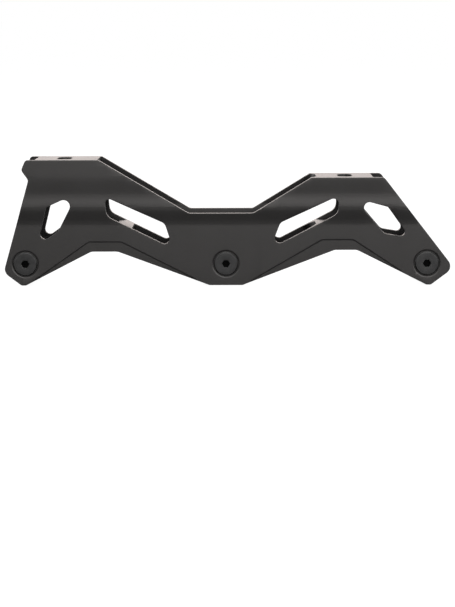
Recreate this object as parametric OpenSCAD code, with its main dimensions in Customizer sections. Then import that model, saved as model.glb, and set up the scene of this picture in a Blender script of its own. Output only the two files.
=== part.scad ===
// Inline skate frame for three large wheels.
// The frame is one aluminium extrusion, milled to shape: two walls, a heel deck and a toe deck with
// a cross slot each, and two low crossbars between the wheels. Three screw-in axles cross it.
// Sizes are in millimetres. X runs to the toe, Y across the frame and Z up.
// The heads of the axles are on the -Y wall and their threads in the +Y wall.

/* [Wheels and axles] */
// Distance between neighbouring axles, half of the wheelbase
axle_pitch = 117.5; // [114:0.5:121]
// Diameter of the largest wheel
wheel_d = 110; // [100:1:111]
// Gap between the largest wheel and the thinned heel deck
wheel_gap = 1; // [0.5:0.1:2]
// Width of a wheel's hub over its two bearings
hub_w = 24; // [22:0.1:25]
// Side play of the hub between the two bosses
hub_play = 0.6; // [0.2:0.1:1]
// Diameter of an axle's shank, the bore of a skate bearing
axle_d = 8; // [7:0.1:9]
// Pitch diameter of the axle's thread
thread_d = 6.4; // [5.8:0.1:6.6]
// Diameter of the relief between shank and thread
neck_d = 5.5; // [4.5:0.1:5.6]
// Length of that relief in front of the threaded boss
neck_l = 1.3; // [0.8:0.1:2]
// Diameter of the axle's head
head_d = 13.9; // [12:0.1:14.6]
// Thickness of the axle's head
head_t = 2; // [1.6:0.1:2.6]
// How far the head stands out of the wall
head_proud = 0.65; // [0.3:0.05:1]
// Width across the flats of the hex socket
socket_af = 4; // [3:0.5:5]
// Depth of the hex socket
socket_depth = 3.2; // [2:0.1:4]
// Chamfer of the axle's edges
axle_edge = 0.5; // [0.2:0.1:0.7]
// Gap between the axle's tip and the outer face of the threaded wall
tip_inset = 0.4; // [0:0.1:1]
// Radial clearance of the shank and of the thread in their holes
axle_fit = 0.05; // [0.02:0.01:0.1]

/* [Axle seats] */
// Gap all round between an axle's head and its recess
head_gap = 0.45; // [0.3:0.05:0.9]
// Width of the bevel round the mouth of each head's recess
seat_bevel = 1; // [0.5:0.1:1.5]
// Depth of that bevel
seat_bevel_depth = 0.5; // [0.2:0.1:0.8]
// Diameter of the boss that the hub runs against
boss_d = 11.4; // [10.4:0.1:13]
// Length of the straight part of the boss
boss_l = 0.9; // [0.4:0.1:1.2]
// Diameter of the cone at the foot of the boss
cone_d = 17.5; // [15:0.5:19]
// Radius of the raised pad round each boss
pad_r = 15.5; // [12:0.5:17]
// Height of that pad
pad_t = 0.5; // [0.3:0.1:0.9]
// Chamfer at the mouth of each hole
hole_chamfer = 0.4; // [0.2:0.1:0.6]

/* [Walls] */
// Clear width between the lower parts of the walls
wall_gap = 29.4; // [28.4:0.1:31]
// Thickness of the lower part of each wall
wall_t = 3.1; // [2.8:0.1:3.6]
// Thickness of each wall at its ridge
ridge_t = 3.4; // [3:0.1:4]
// How far the ridge along the wall stands out past its lower part
ridge_out = 1.35; // [0.8:0.05:2]
// Height of the ridge above the axle line
ridge_z = 32.5; // [31:0.5:34]
// Radius of the ridge
ridge_r = 9; // [6:0.5:11]
// Height above the axle line where the wall begins to swell out
swell_z = 24.5; // [23.5:0.5:26]
// Radius where the wall begins to swell out
swell_r = 16; // [10:1:18]
// Height above the axle line of the soft crease over the ridge
crease_z = 42; // [41:0.5:43]
// How far the crease lies in from the ridge
crease_in = 0.5; // [0.3:0.05:0.7]
// Radius of the crease
crease_r = 20; // [12:1:24]
// How far the wall bulges out again over the crease
bulge_out = 0.3; // [0.2:0.05:0.4]
// Height of the bulge above the crease
bulge_h = 8; // [7:0.5:10]
// Radius of the bulge
bulge_r = 24; // [16:1:28]
// Depth of the milled band over each wheel arch
band_depth = 0.5; // [0.3:0.1:0.8]

/* [Decks] */
// Height of the heel deck above the axle line
heel_h = 60.9; // [58:0.1:62]
// Height of the toe deck above the axle line
toe_h = 50.4; // [48.7:0.1:51.5]
// Distance between the two cross slots
slot_pitch = 165; // [163:0.5:167]
// Distance of the heel slot behind the middle axle
heel_slot_x = 95; // [93:0.5:97]
// Width of a cross slot
slot_w = 8.5; // [6.5:0.1:9]
// Length of a cross slot across the frame
slot_l = 20.5; // [16:0.5:22]
// Thickness of the heel web in front of its slot
heel_web_t = 7; // [5.5:0.1:8]
// Thickness of the toe deck
toe_deck_t = 3.8; // [3:0.1:4.5]
// Reach of the heel web behind its slot
heel_web_rear = 16.5; // [14:0.5:18]
// Reach of the heel web in front of its slot
heel_web_front = 20; // [18:0.2:21]
// Reach of the toe deck behind its slot
toe_deck_rear = 17; // [15:0.5:19]
// Reach of the toe deck in front of its slot
toe_deck_front = 16; // [14:0.5:20]
// Radius of the cutter that mills the pocket round the heel slot
pocket_r = 10.2; // [8:0.1:11]
// Depth to which that cutter bites into the walls
pocket_bite = 0.3; // [0.2:0.05:0.6]
// Gap between the thinned rear of the heel web and the walls
pocket_margin = 0.5; // [0.3:0.1:1]
// Fillet between webs and walls
web_fillet = 2; // [1:0.5:3]
// Radius of the milled corners of the wheel openings
mill_r = 8.5; // [6:0.5:10]
// Radius of the small corners of the webs
corner_r = 2; // [1:0.5:3]

/* [Crossbars] */
// Height of the crossbars' underside above the axle line
bar_z = 19; // [17:0.5:20]
// Thickness of the crossbars
bar_t = 4; // [3:0.5:5]
// Length of the rear crossbar along the frame
rear_bar_l = 8.5; // [7:0.5:11]
// Length of the front crossbar along the frame
front_bar_l = 11; // [7:0.5:13]
// How far the rear crossbar lies behind the middle between its axles
rear_bar_back = 0.6; // [-1:0.1:2]
// How far the front crossbar lies behind the middle between its axles
front_bar_back = 0.3; // [-1:0.1:3]

/* [Lower outline] */
// Height of the axle line above the feet
foot_drop = 12.6; // [11.5:0.1:14]
// Length of the flat under the middle axle
mid_foot_l = 19.4; // [16:0.2:22]
// Radius of the corners of the middle foot
mid_foot_r = 3; // [1:0.5:5]
// Length of the flat under each end axle
end_foot_l = 2.6; // [2:0.1:4]
// How far the flats under the end axles lie outside these
end_foot_out = 1.1; // [0:0.1:2]
// Radius of the corners of the end feet
end_foot_r = 2; // [1:0.2:2.4]
// Distance of the rear arch's flat from the rear axle
rear_arch_in = 46.4; // [44:0.2:49]
// Distance of the front arch's flat from the front axle
front_arch_in = 47.4; // [44:0.2:49]
// Length of the rear arch's flat
rear_arch_l = 15.4; // [11:0.2:17]
// Length of the front arch's flat
front_arch_l = 13; // [11:0.2:17]
// Height of the rear arch above the axle line
rear_arch_h = 7.2; // [5:0.1:8]
// Height of the front arch above the axle line
front_arch_h = 7.9; // [6:0.1:8.6]
// Radius of an arch's corner towards the end axle
arch_end_r = 5; // [3:0.5:8]
// Radius of an arch's corner towards the middle axle
arch_mid_r = 6; // [3:0.5:8]
// Width of the milled band over the flat of the rear arch
rear_band_w = 5.8; // [4:0.1:6.2]
// Width of the milled band over the flat of the front arch
front_band_w = 6.1; // [4:0.1:6.8]
// Length of the flat of the rear band
rear_band_l = 19; // [16:0.2:22]
// Length of the flat of the front band
front_band_l = 18.2; // [16:0.2:21]
// Radius of the bands' corners
band_r = 4; // [2:0.5:6]
// How far the flat of the rear band lies towards the rear from that of its arch
rear_band_out = -0.3; // [-2:0.1:2]
// How far the flat of the front band lies towards the middle from that of its arch
front_band_in = 4.8; // [3:0.1:6]
// Distance in front of the rear axle at which the rear band runs out
rear_band_tip = 2.5; // [2:0.5:14]
// Distance behind the middle axle at which the rear band runs out
rear_band_end = 13; // [10:0.5:28]
// Distance in front of the middle axle at which the front band runs out
front_band_end = 10.8; // [10:0.1:18]
// Distance behind the front axle at which the front band runs out
front_band_tip = 10.5; // [6:0.5:14]

/* [Upper outline] */
// Height of the walls between the decks above the axle line
bridge_h = 29.7; // [27.5:0.1:31]
// Distance of the low part of the walls behind the middle axle
bridge_back = 21.6; // [17:0.2:23]
// Distance of the low part of the walls in front of the middle axle
bridge_front = 16; // [13:0.2:18]
// Radius at both ends of the low part
bridge_r = 4; // [2:0.5:8]
// Reach of the walls' top edge behind the toe slot
toe_edge_rear = 20; // [18:0.2:21]
// Reach of the walls' top edge in front of the toe slot
toe_edge_front = 22.3; // [21:0.1:25]
// Radius at the front of the toe deck's edge
toe_edge_r = 3; // [1:0.5:5]
// Reach of the walls' top edge behind the heel slot
heel_edge_rear = 21.6; // [20.5:0.1:23]
// Reach of the walls' top edge in front of the heel slot
heel_edge_front = 20.8; // [20.4:0.2:23]
// Radius at the rear of the heel deck's edge
heel_edge_r = 2; // [1:0.2:2.4]
// Radius where the walls' top edge meets the slopes
slope_r = 1.5; // [1:0.5:4]
// How far the tab behind the heel deck stands out past the top edge
tab_out = 2.5; // [1.5:0.1:2.8]
// Drop of the tab's tip under the heel deck
tab_drop = 5.8; // [4.5:0.1:6.4]
// Depth of the notch under the tab
notch_in = 4.1; // [3:0.1:4.5]
// Drop of the notch under the heel deck
notch_drop = 11.6; // [11:0.2:15]
// Radius of the tab's tip and of the notch
tab_r = 2.5; // [1:0.1:2.8]
// Reach of the nose in front of the front axle, before rounding
nose_out = 15.8; // [14:0.2:18]
// Height of the nose's corner above the axle line
nose_z = -2.7; // [-4:0.1:0]
// Reach of the tail behind the rear axle, before rounding
tail_out = 12.8; // [11:0.2:14]
// Height of the tail's corner above the axle line
tail_z = -4.8; // [-6.5:0.1:-3]
// Radius of the rounded ends of the frame
end_r = 5; // [4:0.2:6]

/* [Hidden] */
$fn = 64;

// How far cutting tools run past what they cut
over = 2;
// How far joined pieces lap into each other
lap = 0.5;
// How far the path of the cutter round the webs runs into the walls
cut_in = 0.15;
// Length of the extrusion past each end axle, before milling
stock_over = 40;
// Largest turn between neighbouring points of a rounded corner, in degrees
arc_step = 10;
frame_colour = "#2c2c2e";
axle_colour = "#3b3b3e";

// Places along the frame, from the middle axle
rear_axle_x = -axle_pitch;
front_axle_x = axle_pitch;
axle_xs = [rear_axle_x, 0, front_axle_x];
toe_slot_x = slot_pitch - heel_slot_x;
rear_mid_x = rear_axle_x / 2;
front_mid_x = front_axle_x / 2;
rear_arch_x = rear_axle_x + rear_arch_in;
front_arch_x = front_axle_x - front_arch_in;
rear_foot_x = rear_axle_x - end_foot_out;
front_foot_x = front_axle_x + end_foot_out;
tab_x = -heel_slot_x - heel_edge_rear - tab_out;

// Places across the frame, from its middle plane
half_gap = wall_gap / 2;
face_y = half_gap + wall_t;
ridge_y = face_y + ridge_out;
crease_y = ridge_y - crease_in;
upper_gap = ridge_y - ridge_t;
through_y = ridge_y + over;
boss_y = (hub_w + hub_play) / 2;
seat_y = face_y + head_proud - head_t;

// Half width of a web, to the middle of the walls
web_reach = upper_gap + wall_t / 2;
// Height of the floor of the heel pocket, over the largest wheel
pocket_z = wheel_d / 2 + wheel_gap;

// Side outline, from the rear foot along the bottom: place, height and corner radius
outline = [
    [rear_foot_x - end_foot_l / 2, -foot_drop, end_foot_r],
    [rear_foot_x + end_foot_l / 2, -foot_drop, end_foot_r],
    [rear_arch_x - rear_arch_l / 2, rear_arch_h, arch_end_r],
    [rear_arch_x + rear_arch_l / 2, rear_arch_h, arch_mid_r],
    [-mid_foot_l / 2, -foot_drop, mid_foot_r],
    [mid_foot_l / 2, -foot_drop, mid_foot_r],
    [front_arch_x - front_arch_l / 2, front_arch_h, arch_mid_r],
    [front_arch_x + front_arch_l / 2, front_arch_h, arch_end_r],
    [front_foot_x - end_foot_l / 2, -foot_drop, end_foot_r],
    [front_foot_x + end_foot_l / 2, -foot_drop, end_foot_r],
    [front_axle_x + nose_out, nose_z, end_r],
    [toe_slot_x + toe_edge_front, toe_h, toe_edge_r],
    [toe_slot_x - toe_edge_rear, toe_h, slope_r],
    [bridge_front, bridge_h, bridge_r],
    [-bridge_back, bridge_h, bridge_r],
    [-heel_slot_x + heel_edge_front, heel_h, slope_r],
    [-heel_slot_x - heel_edge_rear, heel_h, heel_edge_r],
    [tab_x, heel_h - tab_drop, tab_r],
    [tab_x + notch_in, heel_h - notch_drop, tab_r],
    [rear_axle_x - tail_out, tail_z, end_r]
];
// Corners of the outline at its two ends, and at the ends of the four edges under the arches
nose = 10;
tail = 19;
rear_end_foot_corner = 1;
rear_arch_end_corner = 2;
rear_arch_corner = 3;
rear_foot_corner = 4;
front_foot_corner = 5;
front_arch_corner = 6;
front_arch_end_corner = 7;
front_end_foot_corner = 8;

// Frame ends after rounding, and the row origin midway between them
nose_x = corner_centre(outline, nose)[0] + end_r;
tail_x = corner_centre(outline, tail)[0] - end_r;
mid_x = -(nose_x + tail_x) / 2;

// Windows in the walls: corners with radii, the small ones laid out from the end axles and the long
// ones from midway between the axles
rear_small_window = [[12.6, 33.3, 2], [7.1, 10.4, 3], [19.6, 19.5, 2.5], [31, 41.7, 3.7]];
rear_long_window = [[-12.1, 39.6, 2.5], [-10.9, 27.9, 6], [27.8, 8.9, 3], [23, 23.7, 4.5]];
front_long_window = [[-26.9, 24, 4], [-32.8, 8.7, 3], [7.1, 29.3, 6], [7, 39.7, 3]];
front_small_window = [[-42.9, 38.6, 3.2], [-25, 17.5, 4.5], [-9.8, 15, 2.6], [-22.7, 33, 2.5]];

// Section of one wall: place across the frame, height and corner radius
wall_section = [
    [half_gap, -foot_drop - over, 0],
    [face_y, -foot_drop - over, 0],
    [face_y, swell_z, swell_r],
    [ridge_y, ridge_z, ridge_r],
    [crease_y, crease_z, crease_r],
    [crease_y + bulge_out, crease_z + bulge_h, bulge_r],
    [crease_y, heel_h + over, 0],
    [upper_gap, heel_h + over, 0],
    [upper_gap, ridge_z, ridge_r],
    [half_gap, swell_z, swell_r]
];

// Direction from the first point to the second
function towards(p, q) = (q - p) / norm(q - p);
function flat(corner) = [corner[0], corner[1]];
function corner_at(corners, i) = flat(corners[(i + len(corners)) % len(corners)]);
function back_way(corners, i) = towards(corner_at(corners, i), corner_at(corners, i - 1));
function fore_way(corners, i) = towards(corner_at(corners, i), corner_at(corners, i + 1));
function half_angle(corners, i) = acos(back_way(corners, i) * fore_way(corners, i)) / 2;
function spun(v, a) = [v[0] * cos(a) - v[1] * sin(a), v[0] * sin(a) + v[1] * cos(a)];
function bends_out(corners, i) = cross(fore_way(corners, i), back_way(corners, i)) > 0;

// Centre of the arc that rounds one corner
function corner_centre(corners, i) =
    corner_at(corners, i) + corners[i][2] / sin(half_angle(corners, i))
    * towards([0, 0], back_way(corners, i) + fore_way(corners, i));

// Points of the arc that rounds one corner, or the bare corner
function corner_arc(corners, i) =
    let (r = corners[i][2], half = half_angle(corners, i))
    r == 0 ? [corner_at(corners, i)]
    : let (
        centre = corner_centre(corners, i),
        start = corner_at(corners, i) + r / tan(half) * back_way(corners, i) - centre,
        turn = (bends_out(corners, i) ? 1 : -1) * (180 - 2 * half),
        steps = ceil(abs(turn) / arc_step)
    ) [for (k = [0:steps]) centre + spun(start, turn * k / steps)];

// Point at x on the straight edge of the outline between two of its corners
function on_edge(i, j, x) =
    let (p = corner_at(outline, i), q = corner_at(outline, j))
    [x, p[1] + (q[1] - p[1]) * (x - p[0]) / (q[0] - p[0])];

// Point at height z on the line from p through q, as a bare corner
function run_past(p, q, z) = [q[0] + (q[0] - p[0]) * (z - q[1]) / (q[1] - p[1]), z, 0];

// Polygon with an arc at each corner; corners run anticlockwise
module rounded(corners) {
    polygon([for (i = [0:len(corners) - 1]) each corner_arc(corners, i)]);
}

// Rectangle from x0 to x1, w wide about the middle plane, with rounded corners
module rounded_box(x0, x1, w, r) {
    rounded([[x0, -w / 2, r], [x1, -w / 2, r], [x1, w / 2, r], [x0, w / 2, r]]);
}

// Path of a round cutter that runs across the frame at x, l long over its round ends
module cross_cut(x, r, l) {
    end_y = l / 2 - r;
    translate([x, 0]) {
        square([2 * r, 2 * end_y], center = true);
        translate([0, end_y]) circle(r);
        translate([0, -end_y]) circle(r);
    }
}

// Shape drawn in the side view, carried across the frame from y0 to y1
module across(y0, y1) {
    translate([0, y1, 0]) rotate([90, 0, 0]) linear_extrude(y1 - y0) children();
}

// Section drawn across the frame, carried along it from x0 to x1
module along(x0, x1) {
    translate([x0, 0, 0]) rotate([90, 0, 90]) linear_extrude(x1 - x0) children();
}

// Shape drawn in plan, carried up from z0 to z1
module upward(z0, z1) {
    translate([0, 0, z0]) linear_extrude(z1 - z0) children();
}

// Round piece across the frame from y0 to y1, with its radius at each end
module round_across(x, y0, r0, y1, r1) {
    translate([x, y0, 0]) rotate([-90, 0, 0]) cylinder(h = y1 - y0, r1 = r0, r2 = r1);
}

module both_sides() {
    children();
    mirror([0, 1, 0]) children();
}

// Plan of a web: straight ends that flare to the walls with a radius at the rear and at the front,
// left by a cutter whose path is w wide
module web_plan(x0, x1, rear_r, front_r, w) {
    cutter_l = 3 * mill_r;
    difference() {
        translate([x0 - rear_r, -web_reach]) square([x1 - x0 + rear_r + front_r, 2 * web_reach]);
        rounded_box(x0 - cutter_l, x0, w, rear_r);
        rounded_box(x1, x1 + cutter_l, w, front_r);
    }
}

// Fillets in the corners under a web, where the walls' inner faces lie at inner
module web_fillets(z0, inner) {
    block = web_fillet + lap;
    for (side = [-1, 1])
        difference() {
            translate([side * (inner + lap - block / 2), z0 + lap - block / 2])
                square(block, center = true);
            translate([side * (inner - web_fillet), z0 - web_fillet]) circle(web_fillet);
        }
}

// Web between the walls from z0 to z1 with a fillet under it at each wall
module web(z0, z1, x0, x1, rear_r, front_r) {
    inner = z0 > ridge_z ? upper_gap : half_gap;
    intersection() {
        along(x0 - rear_r - over, x1 + front_r + over) {
            translate([-web_reach, z0]) square([2 * web_reach, z1 - z0]);
            web_fillets(z0, inner);
        }
        upward(z0 - web_fillet - over, z1 + over)
            web_plan(x0, x1, rear_r, front_r, 2 * (inner + cut_in));
    }
}

module heel_web() {
    web(
        heel_h - heel_web_t, heel_h + over,
        -heel_slot_x - heel_web_rear, -heel_slot_x + heel_web_front, corner_r, corner_r
    );
}

module toe_web() {
    web(
        toe_h - toe_deck_t, toe_h + over,
        toe_slot_x - toe_deck_rear, toe_slot_x + toe_deck_front, mill_r, corner_r
    );
}

module crossbar(x, l, rear_r, front_r) {
    web(bar_z, bar_z + bar_t, x - l / 2, x + l / 2, rear_r, front_r);
}

// Boss on the inner face of a wall, with its cone and its bevelled pad, on the +Y side
module boss(x) {
    round_across(x, boss_y, boss_d / 2, half_gap + lap, boss_d / 2);
    round_across(x, boss_y + boss_l, boss_d / 2, half_gap, cone_d / 2);
    round_across(x, half_gap - pad_t, pad_r - pad_t, half_gap + lap, pad_r + lap);
}

// The four windows, in the side view
module windows() {
    translate([rear_axle_x, 0]) rounded(rear_small_window);
    translate([rear_mid_x, 0]) rounded(rear_long_window);
    translate([front_mid_x, 0]) rounded(front_long_window);
    translate([front_axle_x, 0]) rounded(front_small_window);
}

// Band over an arch, in the side view: a flat at height z from x0 to x1, with sides that run down
// through the points rear_end and front_end
module arch_band(x0, x1, z, rear_end, front_end) {
    low = -foot_drop - over;
    rounded([
        run_past([x0, z], rear_end, low),
        run_past([x1, z], front_end, low),
        [x1, z, band_r],
        [x0, z, band_r]
    ]);
}

// Bands over the two wheel arches, which run out to points on the lower edge
module arch_bands() {
    rear_x = rear_arch_x - rear_band_out;
    front_x = front_arch_x - front_band_in;
    arch_band(
        rear_x - rear_band_l / 2, rear_x + rear_band_l / 2, rear_arch_h + rear_band_w,
        on_edge(rear_end_foot_corner, rear_arch_end_corner, rear_axle_x + rear_band_tip),
        on_edge(rear_arch_corner, rear_foot_corner, -rear_band_end)
    );
    arch_band(
        front_x - front_band_l / 2, front_x + front_band_l / 2, front_arch_h + front_band_w,
        on_edge(front_foot_corner, front_arch_corner, front_band_end),
        on_edge(front_arch_end_corner, front_end_foot_corner, front_axle_x - front_band_tip)
    );
}

// Cross slots through the two decks
module slots() {
    upward(heel_h - heel_web_t - over, heel_h + over) cross_cut(-heel_slot_x, slot_w / 2, slot_l);
    upward(toe_h - toe_deck_t - over, toe_h + over) cross_cut(toe_slot_x, slot_w / 2, slot_l);
}

// Pocket under the heel deck: a cutter run across the frame at the slot, and the thinned rear
module heel_pocket() {
    rear_w = 2 * (upper_gap - pocket_margin);
    rear_l = heel_web_rear + corner_r + over;
    upward(heel_h - heel_web_t - web_fillet - lap, pocket_z) {
        cross_cut(-heel_slot_x, pocket_r, 2 * (upper_gap + pocket_bite));
        translate([-heel_slot_x - rear_l, -rear_w / 2]) square([rear_l, rear_w]);
    }
}

// Holes for one axle: shank bore and head recess in the -Y wall, threaded hole in the +Y wall
module axle_holes(x) {
    bore_r = axle_d / 2 + axle_fit;
    thread_r = thread_d / 2 + axle_fit;
    recess_r = head_d / 2 + head_gap;
    mouth = 2 * hole_chamfer;
    lip = 2 * seat_bevel;
    lip_y = face_y + seat_bevel_depth;
    round_across(x, -face_y - over, bore_r, -boss_y + over, bore_r);
    round_across(x, -face_y - over, recess_r, -seat_y, recess_r);
    round_across(x, -lip_y, recess_r + lip, -face_y + seat_bevel_depth, recess_r);
    round_across(x, -seat_y - hole_chamfer, bore_r + mouth, -seat_y + hole_chamfer, bore_r);
    round_across(x, boss_y - over, thread_r, face_y + over, thread_r);
    round_across(x, boss_y - hole_chamfer, thread_r + mouth, boss_y + hole_chamfer, thread_r);
    round_across(x, face_y - hole_chamfer, thread_r, face_y + hole_chamfer, thread_r + mouth);
}

// Walls, webs and bosses, milled to the side outline
module milled_body() {
    stock_x = axle_pitch + stock_over;
    intersection() {
        union() {
            both_sides() along(-stock_x, stock_x) rounded(wall_section);
            heel_web();
            toe_web();
            crossbar(rear_mid_x - rear_bar_back, rear_bar_l, mill_r, corner_r);
            crossbar(front_mid_x - front_bar_back, front_bar_l, mill_r, mill_r);
            for (x = axle_xs) both_sides() boss(x);
        }
        across(-through_y, through_y) rounded(outline);
    }
}

// Moves what is laid out from the middle axle to the row origin, under the middle of the frame
module place() {
    translate([mid_x, 0, foot_drop]) children();
}

module frame() {
    color(frame_colour) place()
        difference() {
            milled_body();
            across(-through_y, through_y) windows();
            both_sides() across(face_y - band_depth, face_y + over) arch_bands();
            slots();
            heel_pocket();
            for (x = axle_xs) axle_holes(x);
        }
}

// One axle: head with a chamfered edge and a hex socket, shank, thread relief and plain thread
module axle(x) {
    top = -face_y - head_proud;
    seat = -seat_y;
    shank_end = boss_y - neck_l;
    tip = face_y - tip_inset;
    head_r = head_d / 2;
    shank_r = axle_d / 2;
    thread_r = thread_d / 2;
    neck_r = neck_d / 2;
    color(axle_colour) place() translate([x, 0, 0])
        difference() {
            rotate([-90, 0, 0]) rotate_extrude()
                polygon([
                    [0, top], [head_r - axle_edge, top], [head_r, top + axle_edge], [head_r, seat],
                    [shank_r, seat], [shank_r, shank_end - axle_edge], [shank_r - axle_edge, shank_end],
                    [neck_r, shank_end], [neck_r, boss_y], [thread_r, boss_y + axle_edge],
                    [thread_r, tip - axle_edge], [thread_r - axle_edge, tip], [0, tip]
                ]);
            translate([0, top - over, 0]) rotate([-90, 0, 0])
                cylinder(h = socket_depth + over, d = socket_af / cos(30), $fn = 6);
        }
}

module rear_axle() { axle(rear_axle_x); }
module middle_axle() { axle(0); }
module front_axle() { axle(front_axle_x); }

frame();
rear_axle();
middle_axle();
front_axle();
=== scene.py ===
import math

import bmesh
import bpy
import numpy as np
from mathutils import Matrix, Vector


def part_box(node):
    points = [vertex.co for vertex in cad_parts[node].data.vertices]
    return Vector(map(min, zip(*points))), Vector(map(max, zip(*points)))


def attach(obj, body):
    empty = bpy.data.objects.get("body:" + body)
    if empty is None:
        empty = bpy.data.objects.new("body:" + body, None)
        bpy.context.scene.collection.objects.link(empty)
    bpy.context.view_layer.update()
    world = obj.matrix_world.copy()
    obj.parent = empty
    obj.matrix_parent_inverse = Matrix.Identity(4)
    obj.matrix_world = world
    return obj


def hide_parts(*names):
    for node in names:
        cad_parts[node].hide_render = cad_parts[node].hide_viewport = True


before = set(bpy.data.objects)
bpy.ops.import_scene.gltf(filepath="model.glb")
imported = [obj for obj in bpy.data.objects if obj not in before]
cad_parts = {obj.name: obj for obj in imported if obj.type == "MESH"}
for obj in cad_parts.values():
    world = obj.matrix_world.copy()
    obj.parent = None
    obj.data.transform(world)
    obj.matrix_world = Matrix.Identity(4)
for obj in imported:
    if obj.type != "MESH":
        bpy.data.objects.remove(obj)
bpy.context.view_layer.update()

# Frame: one aluminium extrusion, milled to its outline, windows and decks, tumbled so that every
# edge is broken a little, and anodised satin black. Everything else is held by it.
MM = 0.001
WELD = 0.002 * MM
FLAT_ANGLE = math.radians(0.5)
SHARP_ANGLE = math.radians(50)
WALL_FACE = 17.8 * MM
OUTER_SKIN = 0.4 * MM
OUTER_FACING = 0.97
EDGEWISE = 0.1
SLICE = 10 * MM
SLICES_EACH_WAY = 12
SLICE_SNAP = 0.06 * MM
SHORT_EDGE = 0.2 * MM
BAND_STEP_DEPTH = 0.6 * MM
BAND_STEP_RUN = 0.7 * MM
BAND_STEP_ANGLE = math.radians(20)
EDGE_BREAK = 0.22 * MM
EDGE_BREAK_STEPS = 2
EDGE_BREAK_ANGLE = math.radians(50)
SWELL_SLICE = 1.2 * MM
SWELL_SAMPLE = 0.1 * MM
SWELL_HEIGHTS = np.array([34.3, 38.9, 42.2, 48.0, 50.3, 55.3, 60.0, 65.0, 75.0]) * MM
SWELL_SLOPES = [0.0, 0.15, 0.15, -0.053, -0.053, 0.05, 0.05, -0.006, -0.006]
INNER_FACE = 15 * MM
INWARD = 0.7
SHEEN = 0.65
# Share of the specular level left on faces that look into the frame: a painted shade that darkens them.
INNER_PAINTED_SHADE_SHEEN = 0.45
ANODISED_BLACK = (0.0052, 0.005, 0.0051, 1.0)
ANODISED_GREY = (0.0092, 0.0088, 0.0089, 1.0)
RUBBED_EDGE = (0.05, 0.049, 0.049, 1.0)


def finish_mesh(name, bm, material):
    """Turns a bmesh into an object with smooth shading that keeps its flat faces flat."""
    mesh = bpy.data.meshes.new(name)
    bm.to_mesh(mesh)
    bm.free()
    mesh.polygons.foreach_set("use_smooth", [True] * len(mesh.polygons))
    mesh.set_sharp_from_angle(angle=SHARP_ANGLE)
    mesh.materials.append(material)
    piece = bpy.data.objects.new(name, mesh)
    bpy.context.scene.collection.objects.link(piece)
    weighted = piece.modifiers.new("flat_faces", "WEIGHTED_NORMAL")
    weighted.keep_sharp = True
    return piece


def new_material(name):
    """A material with only its shader, and that shader's nodes and links."""
    material = bpy.data.materials.new(name)
    material.use_nodes = True
    nodes = material.node_tree.nodes
    return material, nodes, material.node_tree.links, nodes["Principled BSDF"]


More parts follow.
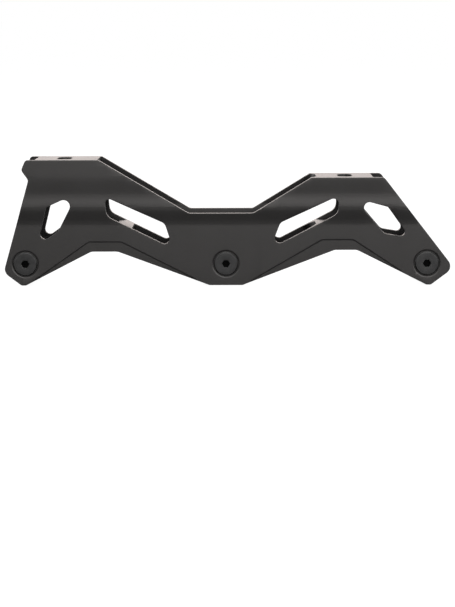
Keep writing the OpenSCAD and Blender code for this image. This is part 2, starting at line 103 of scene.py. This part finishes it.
def anodised_aluminium():
    """Satin black: fine blasted grain, faint drawing lines along the extrusion, uneven dye, painted shade
    on inward faces.
    """
    material, nodes, links, shader = new_material("anodised_aluminium")
    shader.inputs["Metallic"].default_value = 0.0
    shader.inputs["IOR"].default_value = 1.5
    shader.inputs["Specular Tint"].default_value = (1.0, 0.965, 0.945, 1.0)
    place = nodes.new("ShaderNodeTexCoord")

    dye = nodes.new("ShaderNodeTexNoise")
    dye.inputs["Scale"].default_value = 55.0
    dye.inputs["Detail"].default_value = 3.0
    links.new(place.outputs["Object"], dye.inputs["Vector"])
    tone = nodes.new("ShaderNodeMix")
    tone.data_type = "RGBA"
    tone.inputs["A"].default_value = ANODISED_BLACK
    tone.inputs["B"].default_value = ANODISED_GREY
    links.new(dye.outputs["Fac"], tone.inputs["Factor"])
    wear = nodes.new("ShaderNodeUVMap")
    wear.uv_map = "wear"
    # X of this map marks rubbed edges for wear; Y marks inward faces for a painted shade.
    edge = nodes.new("ShaderNodeSeparateXYZ")
    links.new(wear.outputs["UV"], edge.inputs["Vector"])
    rub = nodes.new("ShaderNodeTexNoise")
    rub.inputs["Scale"].default_value = 220.0
    rub.inputs["Detail"].default_value = 2.0
    links.new(place.outputs["Object"], rub.inputs["Vector"])
    rubbed = nodes.new("ShaderNodeMath")
    rubbed.operation = "MULTIPLY"
    links.new(edge.outputs["X"], rubbed.inputs[0])
    links.new(rub.outputs["Fac"], rubbed.inputs[1])
    worn_tone = nodes.new("ShaderNodeMix")
    worn_tone.data_type = "RGBA"
    worn_tone.inputs["B"].default_value = RUBBED_EDGE
    links.new(rubbed.outputs["Value"], worn_tone.inputs["Factor"])
    links.new(tone.outputs["Result"], worn_tone.inputs["A"])
    links.new(worn_tone.outputs["Result"], shader.inputs["Base Color"])

    sheen = nodes.new("ShaderNodeMapRange")
    sheen.inputs["To Min"].default_value = 0.33
    sheen.inputs["To Max"].default_value = 0.4
    links.new(dye.outputs["Fac"], sheen.inputs["Value"])
    links.new(sheen.outputs["Result"], shader.inputs["Roughness"])

    # Painted shade: inward faces get a lower specular level, so they reflect less and look darker.
    inner_painted_shade_gloss = nodes.new("ShaderNodeMapRange")
    inner_painted_shade_gloss.inputs["To Min"].default_value = SHEEN
    inner_painted_shade_gloss.inputs["To Max"].default_value = SHEEN * INNER_PAINTED_SHADE_SHEEN
    links.new(edge.outputs["Y"], inner_painted_shade_gloss.inputs["Value"])
    links.new(inner_painted_shade_gloss.outputs["Result"], shader.inputs["Specular IOR Level"])

    stretch = nodes.new("ShaderNodeMapping")
    stretch.inputs["Scale"].default_value = (40.0, 2600.0, 2600.0)
    links.new(place.outputs["Object"], stretch.inputs["Vector"])
    lines = nodes.new("ShaderNodeTexNoise")
    lines.inputs["Scale"].default_value = 1.0
    lines.inputs["Detail"].default_value = 2.0
    links.new(stretch.outputs["Vector"], lines.inputs["Vector"])
    grain = nodes.new("ShaderNodeTexNoise")
    grain.inputs["Scale"].default_value = 3800.0
    grain.inputs["Detail"].default_value = 1.0
    links.new(place.outputs["Object"], grain.inputs["Vector"])

    line_bump = nodes.new("ShaderNodeBump")
    line_bump.inputs["Strength"].default_value = 0.12
    line_bump.inputs["Distance"].default_value = 0.02 * MM
    links.new(lines.outputs["Fac"], line_bump.inputs["Height"])
    grain_bump = nodes.new("ShaderNodeBump")
    grain_bump.inputs["Strength"].default_value = 0.2
    grain_bump.inputs["Distance"].default_value = 0.02 * MM
    links.new(grain.outputs["Fac"], grain_bump.inputs["Height"])
    links.new(line_bump.outputs["Normal"], grain_bump.inputs["Normal"])
    links.new(grain_bump.outputs["Normal"], shader.inputs["Normal"])
    return material


def bare_copy(mesh):
    """Copy of a solid's mesh without its stored normals, with its triangles merged into flat faces."""
    bm = bmesh.new()
    corners = [bm.verts.new(vertex.co) for vertex in mesh.vertices]
    for polygon in mesh.polygons:
        bm.faces.new([corners[i] for i in polygon.vertices])
    bmesh.ops.remove_doubles(bm, verts=bm.verts, dist=WELD)
    bmesh.ops.dissolve_limit(bm, angle_limit=FLAT_ANGLE, verts=bm.verts, edges=bm.edges)
    bm.normal_update()
    return bm


def is_outer(face):
    """True for a piece of a wall's outer face."""
    depth = face.calc_center_median().y
    return abs(depth) > WALL_FACE - OUTER_SKIN and face.normal.y * depth > OUTER_FACING * abs(depth)


def is_edgewise(face):
    """True for a face that stands square to the walls."""
    return abs(face.normal.y) < EDGEWISE


def is_band_step(face):
    """True for the low step along an arch band."""
    return is_edgewise(face) and all(abs(v.co.y) > WALL_FACE - BAND_STEP_DEPTH for v in face.verts)


def runs_out(vertex):
    """True where a band's step thins out at the lower edge of the wall."""
    return any(is_edgewise(face) and not is_band_step(face) for face in vertex.link_faces)


def slice_across(bm):
    """Cuts the frame across at even places, so that no long thin face is left to bevel."""
    for i in range(-SLICES_EACH_WAY, SLICES_EACH_WAY + 1):
        bmesh.ops.bisect_plane(
            bm, geom=bm.verts[:] + bm.edges[:] + bm.faces[:], dist=SLICE_SNAP,
            plane_co=(i * SLICE, 0.0, 0.0), plane_no=(1.0, 0.0, 0.0),
        )
    bmesh.ops.remove_doubles(bm, verts=bm.verts, dist=SHORT_EDGE)
    bm.normal_update()


def slope_band_steps(bm):
    """Slopes the step along each arch band, and gives all its edges and those where it thins out."""
    steps = [face for face in bm.faces if is_band_step(face)]
    edges = {edge for face in steps for edge in face.edges}
    thin_ends = {edge for edge in edges if any(runs_out(vertex) for vertex in edge.verts)}
    moves = {}
    for vertex in {v for face in steps for v in face.verts}:
        if not runs_out(vertex):
            away = sum((face.normal for face in vertex.link_faces if is_band_step(face)), Vector())
            side = 0.5 if abs(vertex.co.y) < WALL_FACE - BAND_STEP_DEPTH / 2 else -0.5
            moves[vertex] = away.normalized() * BAND_STEP_RUN * side
    for vertex, move in moves.items():
        vertex.co += move
    bm.normal_update()
    return edges, thin_ends


def break_edges(bm, step_edges, thin_ends):
    """Rounds off the outer corners, and both corners of each band's step, and gives the new faces."""
    sharp = []
    for edge in bm.edges:
        turn = edge.calc_face_angle(0.0)
        if edge in step_edges:
            is_sharp = turn > BAND_STEP_ANGLE and edge not in thin_ends
        else:
            is_sharp = edge.is_convex and turn > EDGE_BREAK_ANGLE
        if is_sharp:
            sharp.append(edge)
    broken = bmesh.ops.bevel(
        bm, geom=sharp, offset=EDGE_BREAK, offset_type="OFFSET", affect="EDGES",
        segments=EDGE_BREAK_STEPS, profile=0.5, material=-1, clamp_overlap=False,
    )
    bm.normal_update()
    return set(broken["faces"])


def soften_swell(bm, drawn_heights, drawn_depths):
    """Slices the walls' outer faces by height and moves them onto a softer curve, drawn by its slopes."""
    for height in np.arange(SWELL_HEIGHTS[0], SWELL_HEIGHTS[-1], SWELL_SLICE):
        outer = [face for face in bm.faces if is_outer(face)]
        around = dict.fromkeys(part for face in outer for part in (*face.edges, *face.verts))
        bmesh.ops.bisect_plane(
            bm, geom=outer + list(around), dist=SLICE_SNAP,
            plane_co=(0.0, 0.0, height), plane_no=(0.0, 0.0, 1.0),
        )
    heights = np.arange(SWELL_HEIGHTS[0], SWELL_HEIGHTS[-1], SWELL_SAMPLE)
    slopes = np.interp(heights, SWELL_HEIGHTS, SWELL_SLOPES)
    depths = WALL_FACE + np.cumsum(slopes) * SWELL_SAMPLE
    for vertex in bm.verts:
        height = vertex.co.z
        drawn_depth = np.interp(height, drawn_heights, drawn_depths)
        if abs(vertex.co.y) > drawn_depth - OUTER_SKIN and height > SWELL_HEIGHTS[0]:
            soft_depth = np.interp(height, heights, depths)
            vertex.co.y *= 1 + (soft_depth - drawn_depth) / abs(vertex.co.y)
    bm.normal_update()


body = bare_copy(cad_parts["frame"].data)
wall_points = {(v.co.z, abs(v.co.y)) for face in body.faces if is_outer(face) for v in face.verts}
wall_heights, wall_depths = zip(*sorted(wall_points))
slice_across(body)
rubbed_faces = break_edges(body, *slope_band_steps(body))
soften_swell(body, wall_heights, wall_depths)
wear_and_inner_shade_map = body.loops.layers.uv.new("wear")
# U marks the rubbed edge faces for wear; V marks the faces that look into the frame, which get a painted
# shade.
for face in body.faces:
    looks_in_painted_shade = face.normal.y * face.calc_center_median().y < -INWARD * INNER_FACE
    for loop in face.loops:
        loop[wear_and_inner_shade_map].uv = (float(face in rubbed_faces), float(looks_in_painted_shade))
milled_frame = finish_mesh("milled_frame", body, anodised_aluminium())
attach(milled_frame, "frame")
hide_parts("frame")

# Axles: three alike, each turned in one piece from steel, with a hex socket in its head and a rolled
# thread at its tip, blackened and oiled. The head sits in the near wall, the thread in the far one.
AXLE_SIDES = 48
HEAD_R = 6.95 * MM
HEAD_T = 2.0 * MM
HEAD_RIM = 0.56 * MM
HEAD_RIM_SOFT = 0.1 * MM
HEAD_RIM_SAG = 0.04 * MM
HEAD_BREAK = 0.12 * MM
SOCKET_HALF = 2.0 * MM
SOCKET_DEPTH = 3.2 * MM
SOCKET_REACH = 2.4 * MM
SOCKET_LIP = 0.2 * MM
SHANK_R = 4.0 * MM
SHANK_END = 29.45 * MM
SHANK_FILLET = 0.25 * MM
SHANK_FILLET_MID = 0.07 * MM
SHANK_CHAMFER = 0.5 * MM
NECK_R = 2.75 * MM
NECK_END = 30.75 * MM
NECK_FILLET = 0.2 * MM
CREST_R = 3.2 * MM
ROOT_R = 2.78 * MM
PITCH = 1.0 * MM
THREAD_STEP = PITCH / 12
THREAD_FADE = 0.8 * MM
TIP_CHAMFER = 0.4 * MM
TIP_TAPER = 0.3 * MM
BLACKENED_STEEL = (0.033, 0.0327, 0.0327, 1.0)
POLISHED_STEEL = (0.0825, 0.0817, 0.0817, 1.0)
# Near black for the inside of the hex socket: a painted shade.
SOCKET_PAINTED_SHADE = (0.004, 0.004, 0.004, 1.0)


def blackened_steel():
    """Dark oiled steel with fine turning rings, brighter where a ring stands up, and a painted shade
    inside its socket.
    """
    material, nodes, links, shader = new_material("blackened_steel")
    shader.inputs["Metallic"].default_value = 1.0
    turning = nodes.new("ShaderNodeUVMap")
    turning.uv_map = "turning"
    rings = nodes.new("ShaderNodeTexNoise")
    rings.inputs["Scale"].default_value = 7.0
    rings.inputs["Detail"].default_value = 3.0
    links.new(turning.outputs["UV"], rings.inputs["Vector"])
    tone = nodes.new("ShaderNodeMix")
    tone.data_type = "RGBA"
    tone.inputs["A"].default_value = BLACKENED_STEEL
    tone.inputs["B"].default_value = POLISHED_STEEL
    links.new(rings.outputs["Fac"], tone.inputs["Factor"])
    # Painted shade: the socket's faces are mixed to near black.
    grease = nodes.new("ShaderNodeUVMap")
    grease.uv_map = "grease"
    socket_shade_mask = nodes.new("ShaderNodeSeparateXYZ")
    links.new(grease.outputs["UV"], socket_shade_mask.inputs["Vector"])
    socket_shade_tone = nodes.new("ShaderNodeMix")
    socket_shade_tone.data_type = "RGBA"
    socket_shade_tone.inputs["B"].default_value = SOCKET_PAINTED_SHADE
    links.new(socket_shade_mask.outputs["X"], socket_shade_tone.inputs["Factor"])
    links.new(tone.outputs["Result"], socket_shade_tone.inputs["A"])
    links.new(socket_shade_tone.outputs["Result"], shader.inputs["Base Color"])
    oil = nodes.new("ShaderNodeTexNoise")
    oil.inputs["Scale"].default_value = 260.0
    oil.inputs["Detail"].default_value = 2.0
    place = nodes.new("ShaderNodeTexCoord")
    links.new(place.outputs["Object"], oil.inputs["Vector"])
    sheen = nodes.new("ShaderNodeMapRange")
    sheen.inputs["To Min"].default_value = 0.24
    sheen.inputs["To Max"].default_value = 0.4
    links.new(oil.outputs["Fac"], sheen.inputs["Value"])
    links.new(sheen.outputs["Result"], shader.inputs["Roughness"])
    bump = nodes.new("ShaderNodeBump")
    bump.inputs["Strength"].default_value = 0.25
    bump.inputs["Distance"].default_value = 0.02 * MM
    links.new(rings.outputs["Fac"], bump.inputs["Height"])
    links.new(bump.outputs["Normal"], shader.inputs["Normal"])
    return material


def half_section(length):
    """Half of the axle's outline, from the floor of its socket round to its tip: radius and depth."""
    thread_depths = np.arange(NECK_END + THREAD_STEP, length - TIP_CHAMFER, THREAD_STEP)
    return [
        (0.0, SOCKET_DEPTH),
        (SOCKET_HALF, SOCKET_DEPTH),
        (SOCKET_HALF, SOCKET_LIP),
        (SOCKET_HALF + SOCKET_LIP, 0.0),
        (HEAD_R - HEAD_RIM, 0.0),
        (HEAD_R - HEAD_RIM + HEAD_RIM_SOFT, HEAD_RIM_SAG),
        (HEAD_R - HEAD_RIM_SAG, HEAD_RIM - HEAD_RIM_SOFT),
        (HEAD_R, HEAD_RIM),
        (HEAD_R, HEAD_T - HEAD_BREAK),
        (HEAD_R - HEAD_BREAK, HEAD_T),
        (SHANK_R + SHANK_FILLET, HEAD_T),
        (SHANK_R + SHANK_FILLET_MID, HEAD_T + SHANK_FILLET_MID),
        (SHANK_R, HEAD_T + SHANK_FILLET),
        (SHANK_R, SHANK_END - SHANK_CHAMFER),
        (SHANK_R - SHANK_CHAMFER, SHANK_END),
        (NECK_R + NECK_FILLET, SHANK_END),
        (NECK_R, SHANK_END + NECK_FILLET),
        (NECK_R, NECK_END),
        *((ROOT_R, depth) for depth in thread_depths),
        (ROOT_R - TIP_TAPER, length),
        (0.0, length),
    ]


def hex_stretch(turn):
    """How far a hexagon with a corner at turn 0 lies outside the circle that fits in it."""
    return 1 / math.cos(turn % (math.pi / 3) - math.pi / 6)


def thread_stretch(depth, turn, length):
    """How far the right-hand thread stands out from its root, fading at both ends of the thread."""
    along = depth - NECK_END
    fade = max(0.0, min(1.0, along / THREAD_FADE, (length - depth) / THREAD_FADE))
    wave = 0.5 + 0.5 * math.cos(math.tau * along / PITCH + turn)
    return 1 + (CREST_R / ROOT_R - 1) * wave * fade


def turned_axle(low, high):
    """Axle along +Y that fills a box: half section turned round, socket made a hexagon, thread cut."""
    line = (low + high) / 2
    length = high.y - low.y
    axle = bmesh.new()
    points = [axle.verts.new((radius, depth, 0.0)) for radius, depth in half_section(length)]
    outline = [axle.edges.new(ends) for ends in zip(points, points[1:])]
    bmesh.ops.spin(
        axle, geom=points + outline, cent=(0.0, 0.0, 0.0), axis=(0.0, 1.0, 0.0),
        angle=math.tau, steps=AXLE_SIDES, use_merge=True,
    )
    bmesh.ops.remove_doubles(axle, verts=axle.verts, dist=WELD)
    bmesh.ops.recalc_face_normals(axle, faces=axle.faces)
    for vertex in axle.verts:
        depth = vertex.co.y
        turn = math.atan2(vertex.co.z, vertex.co.x)
        stretch = thread_stretch(depth, turn, length)
        if depth < SOCKET_DEPTH + SOCKET_LIP and math.hypot(vertex.co.x, vertex.co.z) < SOCKET_REACH:
            stretch = hex_stretch(turn)
        vertex.co.x *= stretch
        vertex.co.z *= stretch
    turning = axle.loops.layers.uv.new("turning")
    # This second map marks the socket's faces for the painted shade.
    grease = axle.loops.layers.uv.new("grease")
    for face in axle.faces:
        places = [(math.hypot(v.co.x, v.co.z), v.co.y) for v in face.verts]
        in_socket = all(radius < SOCKET_REACH and depth > SOCKET_LIP / 2 for radius, depth in places)
        for loop, (radius, depth) in zip(face.loops, places):
            loop[turning].uv = (radius / MM, depth / MM)
            loop[grease].uv = (float(in_socket), 0.0)
    bmesh.ops.translate(axle, verts=axle.verts, vec=(line.x, low.y, line.z))
    return axle


axle_finish = blackened_steel()
for name in ("rear_axle", "middle_axle", "front_axle"):
    axle_piece = finish_mesh("turned_" + name, turned_axle(*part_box(name)), axle_finish)
    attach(axle_piece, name)
    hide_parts(name)

# Floor and surroundings: a plain pale floor under a white studio. The camera and reflections see
# the surroundings as plain white, and they light the object softly from all round.
FLOOR_HALF = 60.0
FLOOR_PALE = (0.22, 0.22, 0.22, 1.0)
FLOOR_LIFT = 0.912
SURROUND_LIGHT = 0.4


def pale_floor():
    """Pale matt floor, lifted towards white for the camera, with its shadow, and clear from below."""
    material, nodes, links, shader = new_material("pale_floor")
    shader.inputs["Base Color"].default_value = FLOOR_PALE
    shader.inputs["Roughness"].default_value = 0.9
    shader.inputs["Specular IOR Level"].default_value = 0.0
    shader.inputs["Emission Color"].default_value = (1.0, 1.0, 1.0, 1.0)
    path = nodes.new("ShaderNodeLightPath")
    lift = nodes.new("ShaderNodeMath")
    lift.operation = "MULTIPLY"
    lift.inputs[1].default_value = FLOOR_LIFT
    links.new(path.outputs["Is Camera Ray"], lift.inputs[0])
    links.new(lift.outputs["Value"], shader.inputs["Emission Strength"])
    facing = nodes.new("ShaderNodeNewGeometry")
    clear = nodes.new("ShaderNodeBsdfTransparent")
    one_sided = nodes.new("ShaderNodeMixShader")
    links.new(facing.outputs["Backfacing"], one_sided.inputs["Fac"])
    links.new(shader.outputs["BSDF"], one_sided.inputs[1])
    links.new(clear.outputs["BSDF"], one_sided.inputs[2])
    links.new(one_sided.outputs["Shader"], nodes["Material Output"].inputs["Surface"])
    return material


ground = bmesh.new()
bmesh.ops.create_grid(ground, x_segments=1, y_segments=1, size=FLOOR_HALF)
floor_mesh = bpy.data.meshes.new("floor")
ground.to_mesh(floor_mesh)
ground.free()
floor_mesh.materials.append(pale_floor())
floor = bpy.data.objects.new("floor", floor_mesh)
bpy.context.scene.collection.objects.link(floor)

world = bpy.data.worlds.new("white_studio")
world.use_nodes = True
bpy.context.scene.world = world
air = world.node_tree.nodes
air_links = world.node_tree.links
background = air["Background"]
background.inputs["Color"].default_value = (1.0, 1.0, 1.0, 1.0)
rays = air.new("ShaderNodeLightPath")
seen = air.new("ShaderNodeMath")
seen.operation = "MAXIMUM"
air_links.new(rays.outputs["Is Camera Ray"], seen.inputs[0])
air_links.new(rays.outputs["Is Glossy Ray"], seen.inputs[1])
seen_through = air.new("ShaderNodeMath")
seen_through.operation = "MAXIMUM"
air_links.new(seen.outputs["Value"], seen_through.inputs[0])
air_links.new(rays.outputs["Is Transmission Ray"], seen_through.inputs[1])
level = air.new("ShaderNodeMapRange")
level.inputs["To Min"].default_value = SURROUND_LIGHT
level.inputs["To Max"].default_value = 1.0
air_links.new(seen_through.outputs["Value"], level.inputs["Value"])
air_links.new(level.outputs["Result"], background.inputs["Strength"])

# Lamps: a wide soft box in front, one over the object, a low warm one behind it that runs a light
# along the faces that point up, and one behind each end for its edges and the far side.
DAYLIGHT = (1.0, 1.0, 1.0)
WARM_LIGHT = (1.0, 0.82, 0.75)


def soft_box(name, place, target, width, height, watts, tint):
    """Rectangular soft box at a place, turned to a target, hidden from the camera."""
    lamp = bpy.data.lights.new(name, "AREA")
    lamp.shape = "RECTANGLE"
    lamp.size = width
    lamp.size_y = height
    lamp.energy = watts
    lamp.color = tint
    box = bpy.data.objects.new(name, lamp)
    box.location = place
    box.rotation_euler = (Vector(target) - Vector(place)).to_track_quat("-Z", "Y").to_euler()
    box.visible_camera = False
    bpy.context.scene.collection.objects.link(box)


soft_box("front_box", (0.8, -2.3, 0.74), (0.0, 0.0, 0.03), 3.0, 1.4, 30.5, DAYLIGHT)
soft_box("top_box", (0.0, 0.2, 1.6), (0.0, 0.0, 0.0), 1.6, 1.2, 10.0, DAYLIGHT)
soft_box("back_box", (0.0, 2.5, 0.55), (0.0, 0.0, 0.05), 3.4, 0.9, 12.5, WARM_LIGHT)
soft_box("toe_box", (2.4, 1.3, 0.8), (0.0, 0.0, 0.04), 1.4, 1.2, 28.0, DAYLIGHT)
soft_box("heel_box", (-2.4, 1.3, 0.8), (0.0, 0.0, 0.04), 1.4, 1.2, 28.0, DAYLIGHT)

# Camera: a long lens in front of the near wall and a little above it, aimed so that the middle
# axle falls where the photograph has it.
PHOTO_W = 455
PHOTO_H = 607
FOCAL_PX = 2120.0
PX_PER_MM = 1.709
MIDDLE_AXLE_PX = (226.0, 263.75)
HORIZON_PX = 19.0
YAW = math.radians(0.3)
ROLL = math.radians(-0.18)
SENSOR = 36.0

camera_data = bpy.data.cameras.new("camera")
camera_data.sensor_fit = "VERTICAL"
camera_data.sensor_height = SENSOR
camera_data.sensor_width = SENSOR
camera_data.lens = FOCAL_PX / PHOTO_H * SENSOR
pitch = math.atan((PHOTO_H / 2 - HORIZON_PX) / FOCAL_PX)
depth = FOCAL_PX / PX_PER_MM * MM
right = (MIDDLE_AXLE_PX[0] - PHOTO_W / 2) / FOCAL_PX * depth
above = (PHOTO_H / 2 - MIDDLE_AXLE_PX[1]) / FOCAL_PX * depth
axle_low, axle_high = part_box("middle_axle")
axle_middle = (axle_low + axle_high) / 2
seen_point = Vector((axle_middle.x, -WALL_FACE, axle_middle.z))
tilt = Matrix.Rotation(math.pi / 2 - pitch, 3, "X") @ Matrix.Rotation(ROLL, 3, "Z")
turn = Matrix.Rotation(YAW, 3, "Z") @ tilt
camera = bpy.data.objects.new("camera", camera_data)
camera.location = seen_point - turn @ Vector((right, above, -depth))
camera.rotation_euler = turn.to_euler()
bpy.context.scene.collection.objects.link(camera)
bpy.context.scene.camera = camera
bpy.context.scene.view_settings.view_transform = "Standard"
